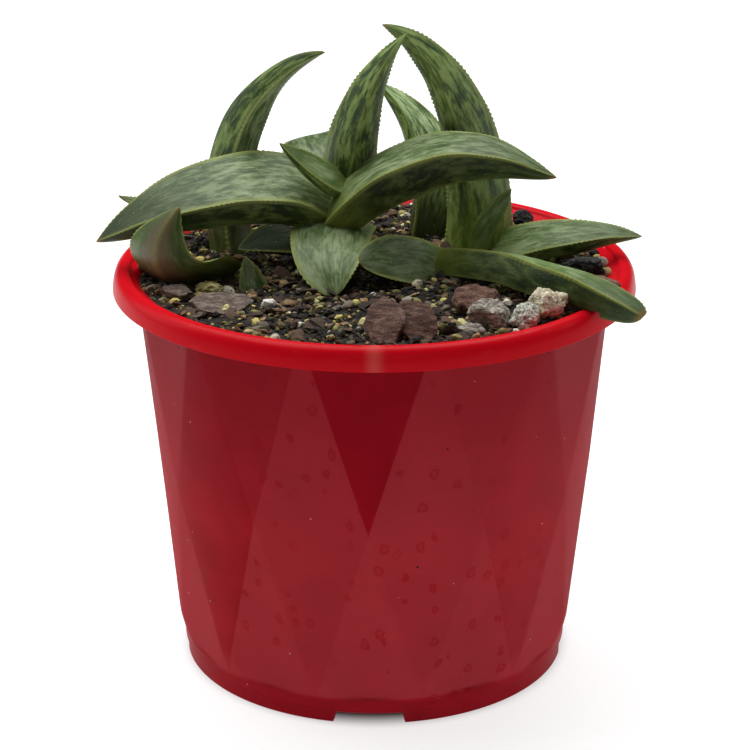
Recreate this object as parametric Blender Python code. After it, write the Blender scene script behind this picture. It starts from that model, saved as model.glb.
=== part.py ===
"""A gasteria-like succulent with two rosettes, in a red faceted nursery pot, with its soil and top dressing.

Lengths in this file are in millimetres and are turned into metres by MM where a mesh is made. The pot's axis
is Z, its foot stands on z = 0, and angles round the pot run from the front (-Y) towards +X.
"""

import math

import bmesh
import bpy
from mathutils import Matrix, Vector

MM = 0.001
GAP = 0.35  # clearance between pieces that touch

# Pot: twelve facets round the wall, each a pair of triangles that meet at their points.
FACETS = 12
FACET_TURN = math.radians(-1.5)
POINT_Z = 57.0  # where the upper and the lower triangle meet
POINT_RADIUS = 59.3
UPPER_HEIGHT = 55.0
UPPER_HALF_WIDTH = 16.72
UPPER_SPREAD = 3.10
LOWER_HEIGHT = 50.0
LOWER_HALF_WIDTH = 14.1
LOWER_DRAFT = 6.66
LOZENGE_BULGE = 1.1
LOZENGE_HALF_WIDTH = 15.35
LOZENGE_STEPS = (0.25, 0.5, 0.75)
FOOT_SPREAD = (-9, 0, 9, 12, 15, 18)  # degrees from a facet's middle to its columns on the foot
RIM_SPREAD = (-5, 0, 5, 10, 15, 20)  # and on the rim

FOOT_RADIUS = 52.5
FOOT_INNER_RADIUS = 50.0
FOOT_HEIGHT = 4.2
LIP_RADIUS = 53.1
LIP_TOP_Z = 7.4
FLOOR_UNDER_Z = 2.6
FLOOR_TOP_Z = 4.8
INNER_FOOT_RADIUS = 51.2
CHAMFER_Z = 14.5
CHAMFER_RADIUS = 55.2
WALL_ROWS_Z = (28.0, 42.0, POINT_Z, 75.0, 92.0)
RIM_RADIUS = 70.0
RIM_BOTTOM_Z = 105.5
RIM_ROOF_Z = 107.6
SKIRT_INNER_RADIUS = 68.8
# Sections of the round parts as radius, z. The foot goes from under the floor to the lip, the rim from
# the hollow under its skirt over the crown and down the inside, and the floor from there to the middle.
FOOT_SECTION = (
    (INNER_FOOT_RADIUS / 2, FLOOR_UNDER_Z),
    (FOOT_INNER_RADIUS - 0.6, FLOOR_UNDER_Z),
    (FOOT_INNER_RADIUS, 0.0),
    (FOOT_RADIUS, 0.0),
    (FOOT_RADIUS, FOOT_HEIGHT),
    (LIP_RADIUS, FOOT_HEIGHT + 0.2),
    (LIP_RADIUS, LIP_TOP_Z),
)
RIM_SECTION = (
    (SKIRT_INNER_RADIUS, RIM_ROOF_Z),
    (SKIRT_INNER_RADIUS, RIM_BOTTOM_Z),
    (RIM_RADIUS, RIM_BOTTOM_Z),
    (69.4, 109.3),
    (68.5, 110.6),
    (67.0, 111.3),
    (65.9, 111.2),
    (65.2, 110.5),
    (64.4, 109.8),
    (62.6, 108.6),
    (61.1, 107.4),
)
FLOOR_SECTION = (
    (INNER_FOOT_RADIUS, LIP_TOP_Z),
    (INNER_FOOT_RADIUS - 0.5, FLOOR_TOP_Z),
    (INNER_FOOT_RADIUS / 2, FLOOR_TOP_Z),
)
RIM_TOP_Z = 111.3

NOTCHES = 4
NOTCH_WIDTH = 19.2
NOTCH_HEIGHT = 3.0
NOTCH_CUTTER_DEPTH = 8.0  # across the foot ring, more than its thickness
POT_SMOOTH_ANGLE = math.radians(8)
DRAIN_HOLES = 6
DRAIN_RADIUS = 4.0
DRAIN_RING_RADIUS = 30.0
DRAIN_CUTTER_HEIGHT = 12.0
DRAIN_SEGMENTS = 16

# Soil plug.
SOIL_COLUMNS = 48
SOIL_TOP_Z = 107.7
SOIL_RELIEF = 0.35
SOIL_WAVE = (7.0, 9.0)  # how far apart the surface's lumps are along x and y
SOIL_WAVE_PHASE = 1.0
SOIL_RINGS = (12.0, 24.0, 36.0, 48.0, 56.0)
SOIL_EDGE = ((61.0, 107.7), (60.3, 106.8), (50.7, 8.0), (50.2, FLOOR_TOP_Z + GAP))
REST_Z = 108.4  # lowest point of anything that lies on the soil

# Crowns: name, centre x, y, lower radius, upper radius, top z.
CROWN_BOTTOM_Z = 96.0
CROWN_SEGMENTS = 20
CROWNS = (
    ("crown_left", -9.0, 14.0, 6.0, 4.0, 112.5),
    ("crown_right", 25.0, 13.0, 5.5, 3.5, 110.5),
)

LEAF_ROWS = 15
LEAF_NECK = 0.16  # share of a leaf's length over which its base swells from the neck
LEAF_NECK_SHARE = 0.35

# Each leaf: its spine as a root, two handles and a tip; its width and thickness; which way its flat face
# looks at the root and at the tip; where the keel lies between its margins (-1 to 1); how its width grows
# and tapers; and the share of the spine that is left out at the root, where the leaves crowd together.
LEAVES = {
    "leaf_left_arching": {
        "spine": ((-6, 14, 121), (-22, 2, 142), (-54, -6, 135), (-74, -4, 118)),
        "width": 18, "thick": 9, "face": ((0, -0.5, 0.87), (0, -0.35, 0.93)), "keel": -1.0,
        "base": 0.8, "peak": 0.38, "sharp": 2.0, "blunt": 0.9, "start": 0.1,
    },
    "leaf_right_arching": {
        "spine": ((-15, 6, 120), (1, 2, 145), (25, -4, 152), (48, -5, 136)),
        "width": 16, "thick": 10, "face": ((0, -0.2, 0.98), (0, -0.2, 0.98)), "keel": 0.9,
        "base": 0.7, "peak": 0.38, "sharp": 2.0, "blunt": 0.9, "start": 0.1,
    },
    "leaf_upright": {
        "spine": ((-8, 20, 121), (-7, 16, 141), (-3, 11, 160), (9, 8, 172)),
        "width": 14, "thick": 8, "face": ((0.2, 0.95, 0.2), (0.2, 0.95, 0)), "keel": -0.3,
        "base": 0.85, "peak": 0.3, "sharp": 1.3, "blunt": 1.0, "start": 0.1,
    },
    "leaf_left_young": {
        "spine": ((-6, 10, 129), (-11, 6, 133), (-18, 2, 139), (-25, 0, 144)),
        "width": 10, "thick": 4, "face": ((0.1, -0.5, 0.85), (0.1, -0.5, 0.85)), "keel": -0.6,
        "base": 0.9, "peak": 0.3, "sharp": 1.4, "blunt": 0.9, "start": 0.15,
    },
    "leaf_back_arching": {
        "spine": ((-8, 22, 122), (-18, 32, 139), (-21, 50, 138), (-21, 66, 124)),
        "width": 24, "thick": 6, "face": ((0, -0.6, 0.8), (0, 0.4, 0.9)), "keel": 0.0,
        "base": 0.72, "peak": 0.38, "sharp": 2.0, "blunt": 0.9, "start": 0.15,
    },
    "leaf_front_drooping": {
        "spine": ((-8, 10, 121), (-12, -4, 123), (-14, -16, 117), (-11, -22, 109)),
        "width": 21, "thick": 6, "face": ((0, -0.6, 0.8), (-0.05, -0.8, 0.6)), "keel": -0.6,
        "base": 0.9, "peak": 0.3, "sharp": 1.6, "blunt": 0.7, "start": 0.2,
    },
    "leaf_left_low": {
        "spine": ((-10, 8, 117), (-17, 9, 117), (-28, 9, 117), (-37, 8, 112)),
        "width": 13, "thick": 5, "face": ((0, -0.6, 0.8), (0, -0.6, 0.8)), "keel": -0.5,
        "base": 0.72, "peak": 0.38, "sharp": 2.0, "blunt": 0.9, "start": 0.1,
    },
    "leaf_left_hidden": {
        "spine": ((-11, 26, 121), (-29, 28, 122), (-54, 25, 116), (-70, 19, 124)),
        "width": 10, "thick": 5, "face": ((0, -0.4, 0.9), (0, -0.4, 0.9)), "keel": 0.0,
        "base": 0.72, "peak": 0.38, "sharp": 2.0, "blunt": 0.9, "start": 0.1,
    },
    "leaf_left_outer": {
        "spine": ((-35, 14, 106), (-41, 18, 129), (-33, 18, 155), (-13, 14, 165)),
        "width": 12, "thick": 9, "face": ((0.8, -0.5, 0), (0.5, -0.4, -0.7)), "keel": -0.6,
        "base": 0.9, "peak": 0.3, "sharp": 1.6, "blunt": 0.9, "start": 0.06,
    },
    "leaf_cupped": {
        "spine": ((-41, 2, 110), (-51, -9, 111), (-68, -17, 115), (-51, -15, 130)),
        "width": 17, "thick": 5, "face": ((0.3, 0.8, 0.5), (0.6, 0.7, 0.1)), "keel": 0.0,
        "base": 0.8, "peak": 0.38, "sharp": 2.0, "blunt": 0.9, "start": 0.0,
    },
    "leaf_pup": {
        "spine": ((-31, -16, 108), (-32, -15, 111), (-33, -14, 114), (-34, -13, 117)),
        "width": 9, "thick": 4, "face": ((0.4, -0.8, 0.1), (0.4, -0.8, 0.1)), "keel": 0.0,
        "base": 1.0, "peak": 0.01, "sharp": 1.5, "blunt": 0.9, "start": 0.0,
    },
    "leaf_tall_arching": {
        "spine": ((28, 22, 107), (32, 24, 133), (22, 20, 164), (2, 12, 173)),
        "width": 19, "thick": 8, "face": ((-0.2, 0.95, 0.15), (-0.2, 0.95, -0.1)), "keel": 0.5,
        "base": 1.0, "peak": 0.01, "sharp": 1.6, "blunt": 0.8, "start": 0.05,
    },
    "leaf_back_inner": {
        "spine": ((14, 28, 108), (22, 32, 126), (18, 34, 141), (1, 34, 152)),
        "width": 13, "thick": 6, "face": ((0.3, -0.9, 0.1), (0.5, -0.4, 0.75)), "keel": -0.8,
        "base": 0.72, "peak": 0.38, "sharp": 2.0, "blunt": 0.9, "start": 0.05,
    },
    "leaf_right_side": {
        "spine": ((30, 20, 106), (41, 14, 115), (58, 6, 120), (72, 4, 117)),
        "width": 14, "thick": 6, "face": ((0, -0.45, 0.9), (0, -0.45, 0.9)), "keel": 0.9,
        "base": 0.9, "peak": 0.2, "sharp": 1.5, "blunt": 0.9, "start": 0.15,
    },
    "leaf_right_front": {
        "spine": ((18, 4, 112), (33, -14, 119), (54, -34, 122), (68, -46, 112)),
        "width": 11, "thick": 8, "face": ((0.3, 0.45, 0.85), (0.2, -0.2, 0.95)), "keel": 1.0,
        "base": 0.9, "peak": 0.38, "sharp": 3.0, "blunt": 0.5, "start": 0.1,
    },
    "leaf_front_centre": {
        "spine": ((23, 7, 107), (15, -4, 112), (4, -13, 118), (-4, -15, 116)),
        "width": 15, "thick": 7, "face": ((-0.1, -0.75, 0.65), (-0.2, -0.75, 0.65)), "keel": -0.3,
        "base": 0.8, "peak": 0.4, "sharp": 2.0, "blunt": 0.55, "start": 0.15,
    },
    "leaf_right_young": {
        "spine": ((27, 9, 112), (29, 10, 119), (34, 11, 124), (37, 12, 128)),
        "width": 6, "thick": 3, "face": ((0.3, -0.8, 0.4), (0.3, -0.8, 0.4)), "keel": 0.0,
        "base": 0.72, "peak": 0.38, "sharp": 2.0, "blunt": 0.9, "start": 0.1,
    },
}

LUMP_RELIEF = 0.10  # how far a lump's surface waves, as a share of its radius

# Top dressing: centre x, y, the size along its own axes, its turn about Z in degrees, the height of its
# lowest point, and the seed of its lumps.
LUMPS = {
    "bark_chip_flat": ((-39, -32), (14, 8, 3.5), 5, REST_Z, 1),
    "bark_plate_left": ((1, -56), (13, 8, 3.0), -10, REST_Z, 2),
    "bark_plate_right": ((9, -51), (12, 8, 3.0), 15, 112.2, 3),
    "bark_chip_red": ((27, -31), (9, 7, 5.0), 30, REST_Z, 4),
    "bark_chip_grey": ((28, -42), (9, 7, 6.0), 70, REST_Z, 5),
    "bark_chip_grey_small": ((24, -50), (7, 5, 3.0), -20, REST_Z, 6),
    "stone_white": ((36, -45), (7, 5, 5.0), 10, 109.0, 7),
    "stone_tan": ((43, -39), (8, 7, 6.5), 20, 109.5, 8),
    "charcoal_lump": ((56, -4), (9, 6, 6.0), -25, REST_Z, 9),
    "twig_stub": ((59, -14), (5, 3, 3.0), 60, REST_Z, 10),
    "bark_chip_rim": ((60, -28), (12, 4, 4.0), -62, 112.0, 11),
    "dark_chunk_back": ((42, 43), (6, 5, 4.5), 0, REST_Z, 12),
    "pebble_yellow": ((-43, -20), (8, 6, 4.5), 15, REST_Z, 13),
    "bark_chip_left": ((-51, -22), (9, 5, 3.5), -35, REST_Z, 14),
}

COLOURS = {
    "pot": ((0.60, 0.005, 0.012), 0.35),
    "soil": ((0.045, 0.032, 0.022), 0.95),
    "crown": ((0.20, 0.24, 0.09), 0.6),
    "leaf": ((0.10, 0.17, 0.055), 0.45),
    "bark": ((0.10, 0.055, 0.035), 0.9),
    "stone": ((0.45, 0.40, 0.30), 0.85),
    "pebble": ((0.50, 0.45, 0.22), 0.85),
    "charcoal": ((0.015, 0.016, 0.018), 0.7),
    "twig": ((0.10, 0.06, 0.04), 0.9),
    "dark": ((0.05, 0.03, 0.025), 0.9),
}


def clear_scene():
    for obj in list(bpy.data.objects):
        bpy.data.objects.remove(obj)


def new_collection(name):
    collection = bpy.data.collections.new(name)
    bpy.context.scene.collection.children.link(collection)
    return collection


def material_for(name):
    """One Principled material of each object's own, coloured by the first word of its name."""
    colour, roughness = COLOURS[name.split("_")[0]]
    material = bpy.data.materials.new(name)
    material.use_nodes = True
    shader = material.node_tree.nodes["Principled BSDF"]
    shader.inputs["Base Color"].default_value = (*colour, 1.0)
    shader.inputs["Roughness"].default_value = roughness
    return material


def add_object(name, bm, collection, smooth_angle=math.radians(30)):
    """Turns a bmesh in millimetres into an object in metres with its faces out."""
    bmesh.ops.scale(bm, vec=(MM, MM, MM), verts=bm.verts)
    bmesh.ops.remove_doubles(bm, verts=bm.verts, dist=1e-6)
    bmesh.ops.recalc_face_normals(bm, faces=bm.faces)
    mesh = bpy.data.meshes.new(name)
    bm.to_mesh(mesh)
    bm.free()
    mesh.shade_smooth()
    mesh.set_sharp_from_angle(angle=smooth_angle)
    obj = bpy.data.objects.new(name, mesh)
    collection.objects.link(obj)
    return obj


def cut(obj, cutter):
    modifier = obj.modifiers.new(cutter.name, "BOOLEAN")
    modifier.operation = "DIFFERENCE"
    modifier.object = cutter
    modifier.solver = "EXACT"


def as_cutter(obj):
    obj.hide_render = True
    obj.display_type = "WIRE"
    return obj


def on_circle(radius, angle):
    return Vector((radius * math.sin(angle), -radius * math.cos(angle)))


def skin(bm, rings, first_pole, last_pole):
    """Joins closed rings of equal length with quads, and closes both ends on a pole vertex."""
    rows = [[bm.verts.new(point) for point in ring] for ring in rings]
    count = len(rows[0])
    for lower, upper in zip(rows, rows[1:]):
        for i in range(count):
            j = (i + 1) % count
            bm.faces.new((lower[i], lower[j], upper[j], upper[i]))
    for row, pole in ((rows[0], first_pole), (rows[-1], last_pole)):
        tip = bm.verts.new(pole)
        for i in range(count):
            bm.faces.new((row[i], row[(i + 1) % count], tip))


def facet_edge(facet, side, z):
    """Plan position of a triangle's side at height z: side -1, 0 or 1 is its left edge, middle or right."""
    if z >= POINT_Z:
        share = (z - POINT_Z) / UPPER_HEIGHT
        half_width = UPPER_HALF_WIDTH * share
        radius = POINT_RADIUS + UPPER_SPREAD * share
    else:
        share = (POINT_Z - z) / LOWER_HEIGHT
        half_width = LOWER_HALF_WIDTH * share
        radius = POINT_RADIUS - LOWER_DRAFT * share
    angle = FACET_TURN + facet * math.tau / FACETS
    across = Vector((math.cos(angle), math.sin(angle)))
    return on_circle(radius, angle) + across * (side * half_width)


def wall_ring(z):
    """The faceted outer wall at height z: flat triangles with bulging lozenges between them."""
    ring = []
    for facet in range(FACETS):
        ring += [facet_edge(facet, side, z) for side in (-1, 0, 1)]
        start = facet_edge(facet, 1, z)
        chord = facet_edge(facet + 1, -1, z) - start
        half = chord.length / 2
        outward = (start + chord / 2).normalized()
        for share in LOZENGE_STEPS:
            offset = (2 * share - 1) * half
            bulge = LOZENGE_BULGE * (half**2 - offset**2) / LOZENGE_HALF_WIDTH**2
            ring.append(start + chord * share + outward * bulge)
    return [point.to_3d() + Vector((0, 0, z)) for point in ring]


def round_ring(radius, z, spread):
    """A round row with the wall's columns, which stand at the spread's angles from each facet's middle."""
    ring = []
    for facet in range(FACETS):
        for offset in spread:
            angle = FACET_TURN + facet * math.tau / FACETS + math.radians(offset)
            ring.append(on_circle(radius, angle).to_3d() + Vector((0, 0, z)))
    return ring


def make_pot(collection, cutters):
    bm = bmesh.new()
    chamfer = [
        point * min(1.0, CHAMFER_RADIUS / point.to_2d().length) for point in wall_ring(CHAMFER_Z)
    ]
    for point in chamfer:
        point.z = CHAMFER_Z
    rings = [round_ring(radius, z, FOOT_SPREAD) for radius, z in FOOT_SECTION]
    rings.append(chamfer)
    rings += [wall_ring(z) for z in WALL_ROWS_Z]
    rings.append(wall_ring(RIM_ROOF_Z))
    rings += [round_ring(radius, z, RIM_SPREAD) for radius, z in RIM_SECTION]
    rings += [round_ring(radius, z, FOOT_SPREAD) for radius, z in FLOOR_SECTION]
    skin(bm, rings, (0, 0, FLOOR_UNDER_Z), (0, 0, FLOOR_TOP_Z))
    pot = add_object("pot", bm, collection, POT_SMOOTH_ANGLE)
    for index in range(NOTCHES):
        cut(pot, notch_cutter(index, cutters))
    for index in range(DRAIN_HOLES + 1):
        cut(pot, drain_cutter(index, cutters))
    return pot


def notch_cutter(index, cutters):
    """A slot through the foot ring, a quarter turn after the one before."""
    bm = bmesh.new()
    bmesh.ops.create_cube(bm, size=1.0)
    bmesh.ops.scale(bm, vec=(NOTCH_WIDTH, NOTCH_CUTTER_DEPTH, 2 * NOTCH_HEIGHT), verts=bm.verts)
    middle = on_circle((FOOT_RADIUS + FOOT_INNER_RADIUS) / 2, 0.0)
    bmesh.ops.translate(bm, vec=(*middle, 0), verts=bm.verts)
    turn = Matrix.Rotation(FACET_TURN + index * math.tau / NOTCHES, 3, "Z")
    bmesh.ops.rotate(bm, matrix=turn, verts=bm.verts)
    return as_cutter(add_object(f"cut_notch_{index}", bm, cutters))


def drain_cutter(index, cutters):
    """One hole in the middle of the floor, index 0, and a ring of holes round it."""
    bm = bmesh.new()
    bmesh.ops.create_cone(
        bm,
        cap_ends=True,
        segments=DRAIN_SEGMENTS,
        radius1=DRAIN_RADIUS,
        radius2=DRAIN_RADIUS,
        depth=DRAIN_CUTTER_HEIGHT,
    )
    if index:
        place = on_circle(DRAIN_RING_RADIUS, (index - 0.5) * math.tau / DRAIN_HOLES)
        bmesh.ops.translate(bm, vec=(*place, FLOOR_TOP_Z), verts=bm.verts)
    return as_cutter(add_object(f"cut_drain_{index}", bm, cutters))


def soil_height(x, y):
    across, deep = SOIL_WAVE
    return SOIL_TOP_Z + SOIL_RELIEF * math.sin(x / across + SOIL_WAVE_PHASE) * math.cos(y / deep)


def make_soil(collection, cutters):
    bm = bmesh.new()
    angles = [i * math.tau / SOIL_COLUMNS for i in range(SOIL_COLUMNS)]
    rings = []
    for radius in SOIL_RINGS:
        plan = [on_circle(radius, angle) for angle in angles]
        rings.append([Vector((p.x, p.y, soil_height(p.x, p.y))) for p in plan])
    for radius, z in SOIL_EDGE:
        rings.append([on_circle(radius, angle).to_3d() + Vector((0, 0, z)) for angle in angles])
    skin(bm, rings, (0, 0, soil_height(0, 0)), (0, 0, SOIL_EDGE[-1][1]))
    soil = add_object("soil", bm, collection)
    for name, x, y, low_radius, top_radius, top_z in CROWNS:
        bm = crown_shape(x, y, low_radius + GAP, top_radius + GAP, CROWN_BOTTOM_Z - GAP, top_z + GAP)
        cut(soil, as_cutter(add_object(f"cut_{name}", bm, cutters)))
    return soil


def crown_shape(x, y, low_radius, top_radius, low_z, top_z):
    bm = bmesh.new()
    bmesh.ops.create_cone(
        bm,
        cap_ends=True,
        segments=CROWN_SEGMENTS,
        radius1=low_radius,
        radius2=top_radius,
        depth=top_z - low_z,
    )
    bmesh.ops.translate(bm, vec=(x, y, (low_z + top_z) / 2), verts=bm.verts)
    return bm


def make_crown(name, x, y, low_radius, top_radius, top_z, collection):
    bm = crown_shape(x, y, low_radius, top_radius, CROWN_BOTTOM_Z, top_z)
    return add_object(name, bm, collection)


def bezier(points, share):
    """Position and direction on a cubic curve."""
    a, b, c, d = points
    rest = 1 - share
    place = a * rest**3 + b * (3 * rest**2 * share) + c * (3 * rest * share**2) + d * share**3
    slope = (b - a) * rest**2 + (c - b) * (2 * rest * share) + (d - c) * share**2
    return place, slope.normalized()


def leaf_width(leaf, share):
    """Width at a share of the spine, as a share of the widest: it swells to the peak, then tapers."""
    rise = math.sin(math.pi / 2 * min(share / leaf["peak"], 1.0))
    fall = max(share - leaf["peak"], 0.0) / (1 - leaf["peak"])
    return (leaf["base"] + (1 - leaf["base"]) * rise) * max(1 - fall ** leaf["sharp"], 0.0) ** leaf["blunt"]


def lowest_allowed(point):
    """Height under which a leaf would enter the soil or the rim."""
    radius = point.to_2d().length
    if radius < RIM_SECTION[-1][0] - 1.0:
        return REST_Z
    if radius < RIM_RADIUS + 1.0:
        return RIM_TOP_Z + GAP
    return 0.0


def leaf_section(leaf, place, along, face, share, neck):
    """Eight points: the flat face from margin to margin, then round the keeled back."""
    face = (face - along * face.dot(along)).normalized()
    side = along.cross(face)
    grown = leaf_width(leaf, share)
    half = leaf["width"] / 2 * grown * neck
    thick = leaf["thick"] * grown**0.75 * neck
    keel = leaf["keel"]
    outline = (
        (-1, 0), (0, 0.06), (1, 0), (0.7 + 0.3 * keel, -0.3), ((1 + keel) / 2 + 0.1, -0.6),
        (keel, -1), ((keel - 1) / 2 - 0.1, -0.6), (-0.7 + 0.3 * keel, -0.3),
    )
    points = []
    for across, up in outline:
        point = place + side * (half * across) + face * (thick * up)
        point.z = max(point.z, lowest_allowed(point))
        points.append(point)
    return points


def make_leaf(name, leaf, collection):
    spine = [Vector(point) for point in leaf["spine"]]
    root_face, tip_face = (Vector(direction).normalized() for direction in leaf["face"])
    rings = []
    for row in range(LEAF_ROWS):
        share = leaf["start"] + (1 - leaf["start"]) * row / LEAF_ROWS
        place, along = bezier(spine, share)
        swell = min((share - leaf["start"]) / LEAF_NECK, 1.0)
        neck = LEAF_NECK_SHARE + (1 - LEAF_NECK_SHARE) * math.sin(swell * math.pi / 2)
        face = root_face.lerp(tip_face, share)
        rings.append(leaf_section(leaf, place, along, face, share, neck))
    root = sum(rings[0], Vector()) / len(rings[0])
    tip = spine[3].copy()
    tip.z = max(tip.z, lowest_allowed(tip))
    bm = bmesh.new()
    skin(bm, rings, root, tip)
    return add_object(name, bm, collection)


def make_lump(name, place, size, turn, low_z, seed, collection):
    """A rough stone or chip: a ball stretched to size, with a few broad lumps, set down on low_z."""
    bm = bmesh.new()
    bmesh.ops.create_icosphere(bm, subdivisions=2, radius=1.0)
    for vert in bm.verts:
        p = vert.co.copy()
        lump = math.sin(3.1 * p.x + seed) * math.cos(2.3 * p.y + 2 * seed) + math.sin(2.7 * p.z + 3 * seed)
        vert.co = p * (1 + LUMP_RELIEF * lump)
    bmesh.ops.scale(bm, vec=[side / 2 for side in size], verts=bm.verts)
    bmesh.ops.rotate(bm, matrix=Matrix.Rotation(math.radians(turn), 3, "Z"), verts=bm.verts)
    low = min(vert.co.z for vert in bm.verts)
    bmesh.ops.translate(bm, vec=(*place, low_z - low), verts=bm.verts)
    return add_object(name, bm, collection)


def main():
    clear_scene()
    plant = new_collection("potted_succulent")
    cutters = new_collection("cutters")
    make_pot(plant, cutters)
    make_soil(plant, cutters)
    for crown in CROWNS:
        make_crown(*crown, plant)
    for name, leaf in LEAVES.items():
        make_leaf(name, leaf, plant)
    for name, lump in LUMPS.items():
        make_lump(name, *lump, plant)
    for obj in plant.objects:
        obj.data.materials.append(material_for(obj.name))


main()
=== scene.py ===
import math
import random

import bmesh
import bpy
import numpy as np
from mathutils import Matrix, Vector, noise


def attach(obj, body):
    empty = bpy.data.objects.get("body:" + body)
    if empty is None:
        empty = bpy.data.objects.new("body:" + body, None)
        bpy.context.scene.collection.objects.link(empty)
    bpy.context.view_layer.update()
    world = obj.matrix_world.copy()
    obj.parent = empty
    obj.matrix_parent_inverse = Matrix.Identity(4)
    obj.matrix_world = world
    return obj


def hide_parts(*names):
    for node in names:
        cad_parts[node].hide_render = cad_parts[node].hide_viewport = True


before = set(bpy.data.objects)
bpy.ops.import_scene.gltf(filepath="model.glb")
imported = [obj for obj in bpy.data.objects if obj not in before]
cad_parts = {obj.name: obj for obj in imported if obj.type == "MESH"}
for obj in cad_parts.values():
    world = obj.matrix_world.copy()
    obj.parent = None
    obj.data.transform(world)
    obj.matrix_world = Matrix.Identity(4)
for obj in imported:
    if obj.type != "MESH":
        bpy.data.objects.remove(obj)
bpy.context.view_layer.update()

mm = 0.001
print("frame loaded:", len(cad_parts), "nodes")


def tone(red, green, blue):
    # a display colour of 0 to 255 as the linear colour that sockets take
    shares = [c / 255 for c in (red, green, blue)]
    return tuple(c / 12.92 if c <= 10 / 255 else ((c + 0.055) / 1.055) ** 2.4 for c in shares)


def dimmed(colour, share):
    return tuple(c * share for c in colour)


class Signal:
    # one output socket, so that shader maths reads as an expression
    def __init__(self, finish, socket):
        self.finish = finish
        self.socket = socket

    def maths(self, operation, other=None, swapped=False, clamp=False):
        values = [self] if other is None else ([other, self] if swapped else [self, other])
        settings = {"operation": operation, "use_clamp": clamp}
        return self.finish.node("ShaderNodeMath", settings, dict(enumerate(values)))

    def __add__(self, other):
        return self.maths("ADD", other)

    def __radd__(self, other):
        return self.maths("ADD", other, swapped=True)

    def __sub__(self, other):
        return self.maths("SUBTRACT", other)

    def __rsub__(self, other):
        return self.maths("SUBTRACT", other, swapped=True)

    def __mul__(self, other):
        return self.maths("MULTIPLY", other)

    def __rmul__(self, other):
        return self.maths("MULTIPLY", other, swapped=True)

    def clamped(self):
        return self.maths("ADD", 0.0, clamp=True)

    def smooth(self, low, high):
        # 0 below low, 1 above high, with a soft step between them
        inputs = {"Value": self, "From Min": low, "From Max": high}
        return self.finish.node("ShaderNodeMapRange", {"interpolation_type": "SMOOTHSTEP"}, inputs)

    def also(self, output):
        # another output of the node that this one comes from
        return Signal(self.finish, self.socket.node.outputs[output])


class Finish:
    # a Principled material that is built up node by node
    def __init__(self, name, roughness=0.5, **fixed):
        self.material = bpy.data.materials.new(name)
        self.material.use_nodes = True
        self.tree = self.material.node_tree
        self.shader = self.tree.nodes["Principled BSDF"]
        self.shader.inputs["Roughness"].default_value = roughness
        for socket, value in fixed.items():
            self.shader.inputs[socket.replace("_", " ")].default_value = value

    def node(self, kind, settings=None, inputs=None, output=None):
        made = self.tree.nodes.new(kind)
        for key, value in (settings or {}).items():
            if key == "stops":
                self.setStops(made.color_ramp.elements, value)
            else:
                setattr(made, key, value)
        for key, value in (inputs or {}).items():
            socket = made.inputs[key]
            if isinstance(value, Signal):
                self.tree.links.new(value.socket, socket)
            elif socket.type == "RGBA" and len(value) == 3:
                socket.default_value = (*value, 1.0)
            else:
                socket.default_value = value
        outputs = [s for s in made.outputs if s.enabled]
        return Signal(self, made.outputs[output] if output else outputs[0])

    def setStops(self, elements, stops):
        while len(elements) > 1:
            elements.remove(elements[-1])
        elements[0].position = stops[0][0]
        elements[0].color = (*stops[0][1], 1.0)
        for position, colour in stops[1:]:
            elements.new(position).color = (*colour, 1.0)

    def place(self):
        return self.node("ShaderNodeTexCoord", output="Object")

    def placeInMm(self):
        return self.stretched(self.place(), (1000, 1000, 1000))

    def attribute(self, name, output="Fac"):
        return self.node("ShaderNodeAttribute", {"attribute_name": name}, output=output)

    def stretched(self, vector, scale):
        return self.node("ShaderNodeMapping", None, {"Vector": vector, "Scale": scale})

    def parts(self, vector):
        split = self.node("ShaderNodeSeparateXYZ", None, {0: vector})
        return [split.also(index) for index in range(3)]

    def cloud(self, vector, scale, detail=3.0, rough=0.55, warp=0.0):
        inputs = {"Vector": vector, "Scale": scale, "Detail": detail, "Roughness": rough, "Distortion": warp}
        return self.node("ShaderNodeTexNoise", None, inputs)

    def cells(self, vector, scale):
        return self.node("ShaderNodeTexVoronoi", None, {"Vector": vector, "Scale": scale}, "Distance")

    def blend(self, factor, first, second):
        # inputs 6 and 7 are the colours of a Mix node
        return self.node("ShaderNodeMix", {"data_type": "RGBA"}, {0: factor, 6: first, 7: second}, 2)

    def ramp(self, factor, stops):
        return self.node("ShaderNodeValToRGB", {"stops": stops}, {"Fac": factor})

    def bump(self, height, strength, distance, below=None):
        inputs = {"Height": height, "Strength": strength, "Distance": distance}
        if below is not None:
            inputs["Normal"] = below
        return self.node("ShaderNodeBump", None, inputs)

    def feed(self, **signals):
        for socket, signal in signals.items():
            self.tree.links.new(signal.socket, self.shader.inputs[socket.replace("_", " ")])
        return self.material


def addObject(name, data):
    made = bpy.data.objects.new(name, data)
    bpy.context.scene.collection.objects.link(made)
    return made


def addPiece(name, points, faces, material, nodes, smoothAngle):
    # points are in millimetres; a piece with no nodes adds to what others replace
    mesh = bpy.data.meshes.new(name)
    mesh.from_pydata([tuple(p) for p in np.asarray(points) * mm], [], [tuple(f) for f in faces])
    mesh.validate()
    mesh.shade_smooth()
    mesh.set_sharp_from_angle(angle=smoothAngle)
    mesh.materials.append(material)
    piece = addObject(name, mesh)
    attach(piece, "root")
    if nodes:
        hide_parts(*nodes)
    return piece


def setAttribute(mesh, name, values, kind="FLOAT"):
    layer = mesh.attributes.new(name, kind, "POINT")
    layer.data.foreach_set("value" if kind == "FLOAT" else "vector", np.asarray(values, np.float32).ravel())


def onCircle(radius, angle):
    # x and y at an angle from the front, in radians
    return radius * math.sin(angle), -radius * math.cos(angle)


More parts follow.
